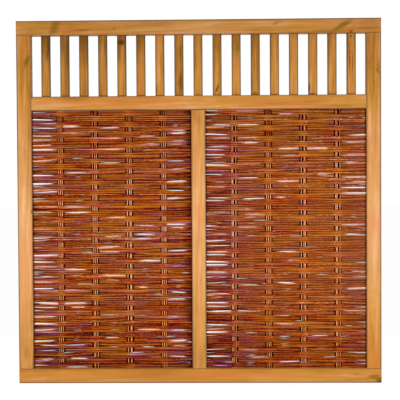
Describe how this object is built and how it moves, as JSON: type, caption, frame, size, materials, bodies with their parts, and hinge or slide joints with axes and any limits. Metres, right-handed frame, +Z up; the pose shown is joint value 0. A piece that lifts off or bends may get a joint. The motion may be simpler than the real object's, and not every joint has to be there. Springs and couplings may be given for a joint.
{
  "type": "woven willow fence panel",
  "caption": "Framed fence panel: open slatted trellis across the top, two bays of willow woven round upright rods below.",
  "frame": {"origin": "on the left stile's outer face, at half the panel's height and half the frame's depth", "axes": "+X along the panel to the right as seen from its front, -Y out of its front, +Z up"},
  "size_m": [1.8, 0.045, 1.8],
  "materials": {
    "frame_pine": "satin stained softwood",
    "slat_pine": "satin stained softwood",
    "upright_willow": "barked willow rod, semi-gloss",
    "band_willow": "barked willow rod, semi-gloss"
  },
  "bodies": {
    "root": {"top_rail": "frame_pine", "bottom_rail": "frame_pine", "left_stile": "frame_pine", "right_stile": "frame_pine", "middle_rail": "frame_pine", "centre_mullion": "frame_pine", "slat_01": "slat_pine", "slat_02": "slat_pine", "slat_03": "slat_pine", "slat_04": "slat_pine", "slat_05": "slat_pine", "slat_06": "slat_pine", "slat_07": "slat_pine", "slat_08": "slat_pine", "slat_09": "slat_pine", "slat_10": "slat_pine", "slat_11": "slat_pine", "slat_12": "slat_pine", "slat_13": "slat_pine", "slat_14": "slat_pine", "slat_15": "slat_pine", "slat_16": "slat_pine", "slat_17": "slat_pine", "left_bay_uprights_1": "upright_willow", "left_bay_uprights_2": "upright_willow", "left_bay_uprights_3": "upright_willow", "left_bay_uprights_4": "upright_willow", "right_bay_uprights_1": "upright_willow", "right_bay_uprights_2": "upright_willow", "right_bay_uprights_3": "upright_willow", "right_bay_uprights_4": "upright_willow", "left_bay_odd_bands": "band_willow", "left_bay_even_bands": "band_willow", "right_bay_odd_bands": "band_willow", "right_bay_even_bands": "band_willow"}
  },
  "joints": []
}
